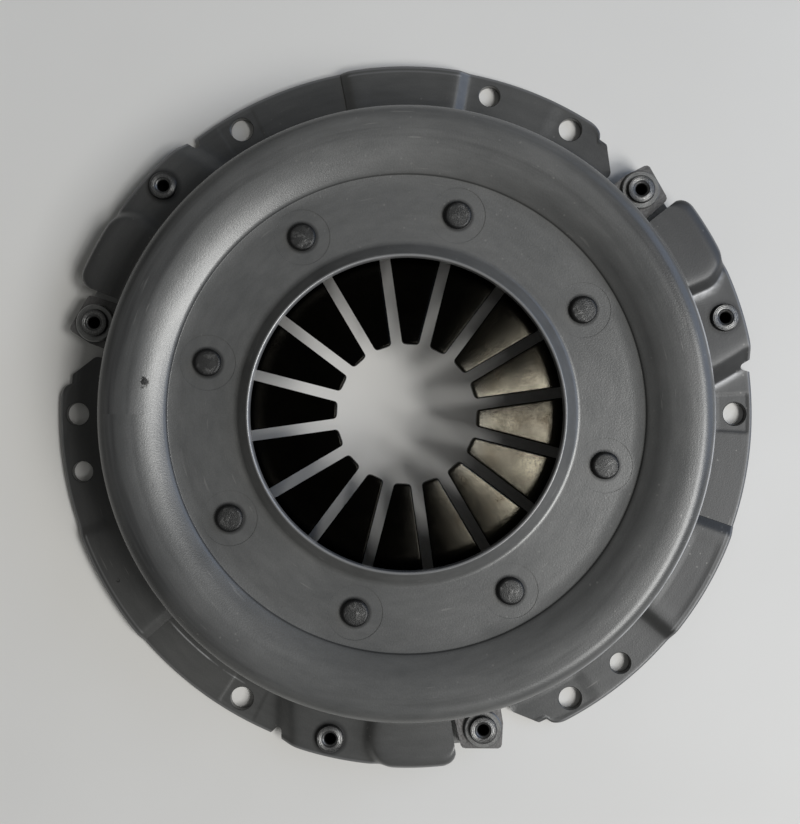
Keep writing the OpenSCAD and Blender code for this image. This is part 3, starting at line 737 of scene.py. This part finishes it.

# %% [markdown]
# ## The spring's finish
#
# The fingers are hardened spring steel, handled and wiped with oil: a warm grey with brown
# stains, fine scratches along each finger, and a polished band where the release bearing runs on
# the tips. Painted shade blackens the fingers away from the right-hand side.

# %% Spring finish
def spring_finish():
    """Warm greys mixed by a cloud, then stains, freckles, the tips' band and painted shade.

    The painted shade's mask is the cosine of the angle from a direction 8 degrees below the x
    axis.
    """
    f = Finish("stained_spring_steel", Metallic=1.0)
    x, y, _ = f.axes()
    r = f.radius()
    cloud = f.noise(60, 6, 0.66, warp=0.25)
    stain = f.noise(95, 6, 0.7, warp=0.3).between(0.52, 0.68)
    scratch = f.noise(420, 3, 0.6, at=f.around(1.5))
    grain = f.noise(2600, 2, 0.6)
    tips = r.near(0.0325, 0.006)
    freckle = f.noise(750, 4, 0.7).between(0.54, 0.66)
    colour = f.mix(cloud.between(0.35, 0.68), (0.026, 0.0235, 0.018), (0.060, 0.055, 0.042))
    colour = f.mix(stain * 0.45, colour, (0.020, 0.014, 0.008))
    colour = f.mix(freckle * 0.55, colour, (0.012, 0.010, 0.008))
    colour = f.mix(tips * 0.3, colour, (0.07, 0.068, 0.060))
    # Painted shade: the fingers that face away from the lamps on the right are blackened.
    towards = (x * 0.99 - y * 0.14) / r
    colour = f.mix(towards.between(0.95, 0.30) * 0.88, colour, grey(0.002))
    f.set(Base_Color=colour, Roughness=0.18 + stain * 0.10 + (grain - 0.5) * 0.08)
    f.bump(scratch * 0.5 + grain * 0.5, 0.22, 0.0003)
    return f.material


spring_steel = spring_finish()
print("finish", spring_steel.name)

# %% [markdown]
# ## Sixteen fingers
#
# One diaphragm spring is cut by sixteen straight slots. Between two slots a finger widens from
# its tip outwards, narrows beside the window at its slot's end, and then fills its share of the
# outer ring. Each finger turns by itself on the fulcrum wires, so each one is its own piece. Its
# cross-section is a flat bar with rounded edges, and the half width follows from the slots.

# %% Finger outline
FINGERS, SLOT_START = 16, 8.0
FULCRUM_R, CONE = 95.0, math.radians(9.5)
SPRING_T, SPRING_R, TIP_R, TIP_ROUND, TIP_THIN = 2.8, 123.0, 29.8, 1.3, 0.55
SLOT_W, SLOT_WINDOW_W, WINDOW_IN, WINDOW_OUT, WINDOW_END = 4.6, 15.0, 79.5, 93.5, 2.4
HALF_GAP, EDGE_ROUND = 0.15, 0.9
UPPER_WIRE_Z = under_z - 2.0
FULCRUM_Z = UPPER_WIRE_Z - 2.0 - 0.4 - SPRING_T / 2 / math.cos(CONE)
PITCH = 360.0 / FINGERS


def half_width(x):
    """Half of a finger's width at a distance from the axis.

    It follows the slot's side line, and is drawn in beside the window at the slot's end, by
    3 t squared less 2 t cubed, to a power that makes the window's ends rounder.
    """
    half_pitch = math.radians(PITCH / 2)
    ease = lambda t: t * t * (3 - 2 * t)
    rise = ease(np.clip((x - WINDOW_IN + 0.1) / WINDOW_END, 0, 1)) ** 0.6
    fall = ease(np.clip((WINDOW_OUT + 0.1 - x) / WINDOW_END, 0, 1)) ** 0.6
    inside = np.where(x > (WINDOW_IN + WINDOW_OUT) / 2, HALF_GAP, SLOT_W / 2)
    slot = inside + (SLOT_WINDOW_W / 2 - inside) * rise * fall
    return x * math.tan(half_pitch) - slot / math.cos(half_pitch)


def finger(index):
    """Rows run from tip to rim, columns round a rounded bar; then the cone tilts it all."""
    out = np.concatenate([[TIP_R, TIP_R + 0.15, TIP_R + 0.5, TIP_R + 1.0, TIP_R + 1.6],
                          np.linspace(TIP_R + 3, WINDOW_IN - 1, 18),
                          np.linspace(WINDOW_IN - 0.5, WINDOW_OUT + 0.6, 32),
                          np.linspace(WINDOW_OUT + 3, SPRING_R, 8)])
    half = half_width(out)
    # The tip's corners: an arc in plan, and a thinner bar by a share of the same curve.
    past = np.minimum(out - TIP_R, TIP_ROUND)
    inset = TIP_ROUND - np.sqrt(TIP_ROUND**2 - (TIP_ROUND - past) ** 2)
    e = np.minimum(EDGE_ROUND, half * 0.4)[:, None]
    h = (half - inset)[:, None]
    t = (SPRING_T / 2 - TIP_THIN * inset / TIP_ROUND)[:, None]
    corner = np.radians(np.linspace(0, 90, 5))
    ys, us = [], []
    for turn_y, turn_u, order in ((1, 1, 1), (-1, 1, -1), (-1, -1, 1), (1, -1, -1)):
        ys.append(turn_y * (h - e + e * np.cos(corner[::order])))
        us.append(turn_u * (t - e + e * np.sin(corner[::order])))
    y, u = np.concatenate(ys, axis=1), np.concatenate(us, axis=1)
    along = ((out - FULCRUM_R) / math.cos(CONE))[:, None]
    x = FULCRUM_R + along * math.cos(CONE) + u * math.sin(CONE)
    z = FULCRUM_Z - along * math.sin(CONE) + u * math.cos(CONE)
    a = math.radians(SLOT_START + (index - 0.5) * PITCH)
    return surface(f"finger_{index:02d}", x * math.cos(a) - y * math.sin(a),
                   x * math.sin(a) + y * math.cos(a), z)


for index in range(1, FINGERS + 1):
    node = f"finger_{index:02d}"
    piece = place(f"spring_{node}", finger(index), spring_steel, 50.0)
    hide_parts(node)
    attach(piece, f"{node}_body")
print(FINGERS, "fingers of", len(piece.data.polygons), "faces")

# %% [markdown]
# ## Finishes of the smaller parts
#
# The plate is grey cast iron, rough where it was cast and turned fine on its friction face. The
# rivets are dark phosphated steel, rubbed on their heads, and the straps are bright cold-rolled
# strip. Wires and washers are plain drawn steel.

# %% Smaller finishes
def plain_finish(name, dark, light, rough, metal, scale, bump):
    """Two tones mixed by a soft noise, with a fine grain in the gloss and in the relief."""
    f = Finish(name, Metallic=metal, IOR=1.5)
    cloud = f.noise(scale, 4, 0.6, warp=0.3)
    grain = f.noise(scale * 22, 2, 0.6)
    tone = cloud * 0.7 + grain * 0.3
    f.set(Base_Color=f.mix(tone.between(0.35, 0.68), dark, light),
          Roughness=rough + (cloud - 0.5) * 0.2 + (grain - 0.5) * 0.1)
    f.bump(grain, bump, 0.0004)
    return f.material


def plate_finish():
    """Grey cast iron, with fine turning rings where the friction face is ground bright."""
    f = Finish("grey_cast_iron", IOR=1.5)
    _, _, z = f.axes()
    cloud = f.noise(40, 4, 0.6, warp=0.3)
    grain = f.noise(900, 2, 0.6)
    rings = f.noise(700, 2, 0.6, at=f.around(0.004))
    face = z.between(0.0056, 0.0052)
    cast = f.mix((cloud * 0.7 + grain * 0.3).between(0.35, 0.68),
                 (0.075, 0.073, 0.070), (0.16, 0.155, 0.15))
    ground = f.mix((cloud * 0.3 + rings * 0.7).between(0.35, 0.65),
                   (0.17, 0.168, 0.163), (0.27, 0.267, 0.26))
    f.set(Base_Color=f.mix(face, cast, ground), Metallic=0.6 + face * 0.3,
          Roughness=0.52 - face * 0.18 + (grain - 0.5) * 0.1)
    f.bump(grain * (1 - face) + rings * face * 0.3, 0.45, 0.0004)
    return f.material


def rivet_finish():
    """Dark phosphate on the fulcrum rivets' heads, with rubbed spots, and painted shade at their
    edges.
    """
    f = Finish("rivet_phosphate", Metallic=0.75, IOR=1.5)
    rubbed = f.noise(260, 4, 0.6, warp=0.4).between(0.52, 0.66)
    grain = f.noise(2400, 2, 0.6)
    edge = f.from_centre(RIVETS, RIVET_START, RIVET_R).between(0.0036, 0.0052)
    colour = f.mix(rubbed * 0.8, (0.055, 0.055, 0.053), (0.13, 0.128, 0.122))
    # Painted shade: the heads' edges are blackened.
    colour = f.mix(edge * 0.8, colour, grey(0.016))
    f.set(Base_Color=colour, Roughness=0.40 + (grain - 0.5) * 0.2)
    f.bump(grain + rubbed * 0.6, 0.35, 0.0004)
    return f.material


def strap_rivet_finish(start, ring):
    """Bright steel, turned to a mouth: rings round the bore, painted shade at the head's edge.

    The rings are a sine of the distance from the rivet's centre, one every 0.7 mm. The bore is
    painted black as shade, by the distance from the axis alone, so the heads' closed lower ends
    get the same black disc.
    """
    f = Finish(f"strap_rivet_{round(start)}", IOR=1.5)
    d = f.from_centre(3, start, ring)
    grain = f.noise(1800, 3, 0.6)
    turned_rings = (d * 9000).sine() * 0.5 + 0.5
    edge, bore = d.between(0.0046, 0.0060), d.between(0.0030, 0.0025)
    colour = f.mix(grain.between(0.35, 0.65), (0.11, 0.11, 0.108), (0.24, 0.238, 0.23))
    # Painted shade: the head's edge is darkened and the bore painted black.
    colour = f.mix(edge * 0.7, colour, grey(0.012))
    colour = f.mix(bore * 0.98, colour, grey(0.002))
    f.set(Base_Color=colour, Metallic=0.85 + bore * 0.15,
          Roughness=0.33 + bore * 0.5 + (grain - 0.5) * 0.2)
    f.bump(turned_rings * 0.5 + grain * 0.5, 0.5, 0.0004)
    return f.material


strap_steel = plain_finish("strap_strip", (0.20, 0.20, 0.195), (0.34, 0.34, 0.33),
                           0.34, 0.9, 60, 0.12)
FINISHES = (
    # a part of the node's name and its finish: the first that fits is taken
    ("pressure_plate", plate_finish()),
    ("cover_strap_rivet", strap_rivet_finish(STRAP_A, STRAP_R)),
    ("ear_rivet", strap_rivet_finish(EAR_A, EAR_R)),
    ("rivet", rivet_finish()),
    ("washer", plain_finish("washer_steel", (0.12, 0.12, 0.118), (0.25, 0.25, 0.24),
                            0.36, 0.85, 90, 0.15)),
    ("strap", strap_steel),
    ("ring", plain_finish("drawn_wire", (0.22, 0.22, 0.21), (0.36, 0.36, 0.35),
                          0.3, 0.9, 80, 0.1)),
)
print(len(FINISHES), "finishes of smaller parts")

# %% Give each CAD node its finish
def dress(node, finish):
    """Sets a CAD node's material, and shades it smooth up to a crease of 32 degrees."""
    o = nodes[node]
    o.data.materials.clear()
    o.data.materials.append(finish)
    o.data.polygons.foreach_set("use_smooth", np.ones(len(o.data.polygons), bool))
    weld = o.modifiers.new("weld", "WELD")
    weld.merge_threshold = 1e-6
    split = o.modifiers.new("creases", "EDGE_SPLIT")
    split.split_angle = math.radians(32)


dressed = 0
for name in nodes:
    fitting = [finish for word, finish in FINISHES if word in name]
    if fitting:
        dress(name, fitting[0])
        dressed += 1
print(dressed, "CAD nodes with a finish")

# %% [markdown]
# ## Drive straps
#
# A strap pack of three spring leaves ties each ear of the plate to a pad of the cover. When the
# plate lifts, one end goes up with it and the leaves bend. Here each leaf is one strip with a hole
# at each rivet, and it steps down smoothly between them.

# %% Strap leaves
STRAP_W, LEAF_T, LEAF_Z, STRAP_DROP, STRAP_LAND, CLAMPED = 17.0, 1.0, 8.0, 3.0, 14.5, 9.0


def strap_leaf(station, n):
    """A leaf's mesh in mm, and the centres of its two rivets.

    Rows run along the strip. The half width follows its round ends, and its height is a smooth
    step down: the drop times 3 t squared less 2 t cubed, between the two flat ends.
    """
    p, q = np.array(polar(STRAP_R, STRAP_A)), np.array(polar(EAR_R, EAR_A))
    span, direction = np.linalg.norm(q - p), math.atan2(*(q - p)[::-1])
    half, bevel = STRAP_W / 2, 0.25
    round_end = np.linspace(0.15, np.pi / 2, 8)
    s = np.unique(np.concatenate([-half * np.cos(round_end), np.linspace(1, span - 1, 26),
                                  span + half * np.cos(round_end)]))
    over = np.maximum(np.maximum(-s, s - span), 0)
    width = np.sqrt(np.maximum(half**2 - over**2, 0.2))
    t = np.clip((s - STRAP_LAND) / (span - 2 * STRAP_LAND), 0, 1)
    top = PAD_Z - n * LEAF_T - STRAP_DROP * t * t * (3 - 2 * t)
    flat = width - bevel
    y = np.stack([flat, width, width, flat, -flat, -width, -width, -flat], axis=1)
    u = np.array([0, -0.25, -0.75, -1, -1, -0.75, -0.25, 0]) * LEAF_T
    z = top[:, None] + u[None, :]
    c, si = math.cos(direction), math.sin(direction)
    along = s[:, None]
    x, y = p[0] + along * c - y * si, p[1] + along * si + y * c
    a = math.radians(120 * (station - 1))
    turned = lambda x, y: (x * math.cos(a) - y * math.sin(a), x * math.sin(a) + y * math.cos(a))
    ends = [np.array([*turned(*rivet), LEAF_Z]) for rivet in (p, q)]
    return surface("leaf", *turned(x, y), z, flip=True), ends


for station in (1, 2, 3):
    for n, which in enumerate(("top", "middle", "bottom")):
        mesh, (start, end) = strap_leaf(station, n)
        low = PAD_Z - STRAP_DROP - 3 * LEAF_T
        holes = [pin(centre, STRAP_HOLE_R, low, PAD_Z) for centre in (start, end)]
        leaf = cut(mesh, holes, strap_steel, f"leaf_{station}_{which}")
        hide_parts(f"strap_{station}_{which}")
        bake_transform(leaf)
print("9 strap leaves of", len(leaf.data.polygons), "faces")

# %% [markdown]
# ## Floor, light and camera
#
# The part lies on its flywheel side on a pale table and is seen from straight above. The key lamp
# stands high on the lower right, so the shoulder's left slope lights up and the left-hand fingers
# stay in the collar's shade. A smaller lamp, nearer to the vertical, picks out the right-hand
# fingers, and a wide cool one low on the right tints the edges. A pale grey world fills the rest.

# %% Floor
def floor_finish():
    """A pale matt table with soft clouds."""
    f = Finish("pale_floor", Roughness=0.6)
    cloud = f.noise(9, 3, 0.5)
    f.set(Base_Color=f.mix(cloud, (0.60, 0.59, 0.56), (0.66, 0.65, 0.62)))
    return f.material


FLOOR_HALF, FLOOR_Z = 3.0, -0.0003
signs = ((-1, -1), (1, -1), (1, 1), (-1, 1))
corners = [(FLOOR_HALF * u, FLOOR_HALF * v, FLOOR_Z) for u, v in signs]
floor_mesh = bpy.data.meshes.new("floor")
floor_mesh.from_pydata(corners, [], [(0, 1, 2, 3)])
floor_mesh.materials.append(floor_finish())
floor = bpy.data.objects.new("floor", floor_mesh)
bpy.context.scene.collection.objects.link(floor)
floor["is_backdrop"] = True
print("floor", 2 * FLOOR_HALF, "m wide")

# %% Light
def lamp(name, place_at, aim, size, watts, colour=(1, 1, 1)):
    """A square area lamp at a place in metres, facing a point."""
    data = bpy.data.lights.new(name, "AREA")
    data.size, data.energy, data.color = size, watts, colour
    o = bpy.data.objects.new(name, data)
    bpy.context.scene.collection.objects.link(o)
    o.location = place_at
    dx, dy, dz = (p - q for p, q in zip(place_at, aim))
    o.rotation_euler = (math.atan2(math.hypot(dx, dy), dz), 0, math.atan2(dy, dx) + math.pi / 2)


AIM = (0, 0, 0.03)
lamp("key", (1.68, -1.05, 2.26), AIM, 1.2, 58)
lamp("ceiling", (1.45, -0.14, 2.65), AIM, 0.6, 26)
lamp("cool_side", (1.7, 0.5, 0.75), AIM, 1.8, 13, (0.50, 0.66, 1.0))
world = bpy.data.worlds.new("studio")
bpy.context.scene.world = world
world.use_nodes = True
sky = world.node_tree.nodes["Background"]
sky.inputs["Color"].default_value = (0.93, 0.94, 0.93, 1)
sky.inputs["Strength"].default_value = 0.14
bpy.context.scene.view_settings.view_transform = "Standard"
print("3 lamps and a world")

# %% Camera
camera = bpy.data.cameras.new("camera")
camera.lens, camera.sensor_width = 46.8, 36.0
camera.clip_start, camera.clip_end = 0.01, 10
eye = bpy.data.objects.new("camera", camera)
eye.location = (-0.0028, 0.0009, 0.5)
bpy.context.scene.collection.objects.link(eye)
bpy.context.scene.camera = eye
print("camera at", [round(v, 4) for v in eye.location])

# %% The scene's box
low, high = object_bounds()
print("scene box", [round(v, 4) for v in (*low, *high)])
